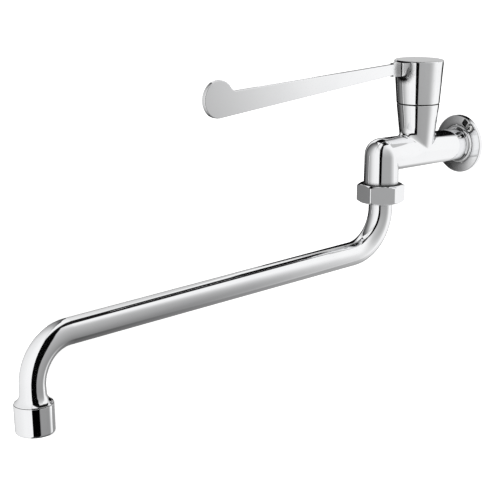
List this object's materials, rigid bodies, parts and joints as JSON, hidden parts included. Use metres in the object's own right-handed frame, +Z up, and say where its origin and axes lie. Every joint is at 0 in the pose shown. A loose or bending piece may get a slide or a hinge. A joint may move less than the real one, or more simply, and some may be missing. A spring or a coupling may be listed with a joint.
{
  "type": "wall-mounted tap",
  "caption": "Wall-mounted single tap with a long flat elbow lever on a tapered upright neck and a long swivelling tubular spout with an aerator.",
  "frame": {"origin": "inlet axis in the plane of the wall", "axes": "+Y into the wall along the inlet thread, the tap stands out along -Y; +Z up along the valve axis; +X to the right when facing the wall"},
  "size_m": [0.045, 0.4479, 0.2193],
  "materials": {
    "chrome": "polished",
    "brass": "machined",
    "stainless": "plain",
    "rubber": "matte",
    "ceramic": "lapped",
    "plastic": "moulded"
  },
  "bodies": {
    "root": {"valve_body": "chrome", "inlet_nipple": "chrome", "inlet_seal": "rubber", "wall_rosette": "chrome", "rosette_pad": "rubber", "rosette_screws": "stainless", "headwork_body": "brass", "headwork_o_ring": "rubber", "seat_seal": "rubber", "fixed_disc": "ceramic", "union_nut": "chrome", "slide_washers": "plastic"},
    "lever": {"lever_handle": "chrome", "spline_insert": "brass", "grub_screw": "stainless", "spindle": "brass", "spindle_o_rings": "rubber", "thrust_washer": "plastic", "spindle_circlip": "stainless", "moving_disc": "ceramic"},
    "spout": {"spout_tube": "chrome", "spout_bush": "brass", "spout_o_rings": "rubber", "nozzle_thread_ring": "brass", "aerator_housing": "chrome", "aerator_washer": "rubber", "aerator_cartridge": "plastic", "aerator_screen": "stainless"}
  },
  "joints": [
    {"name": "lever_turn", "type": "hinge", "parent": "root", "child": "lever", "pos_m": [0, -0.051, 0], "axis": [0, 0, 1], "range_deg": [0, 90]},
    {"name": "spout_swivel", "type": "hinge", "parent": "root", "child": "spout", "pos_m": [0, -0.09, 0], "axis": [0, 0, 1], "range_deg": [-100, 100]}
  ]
}
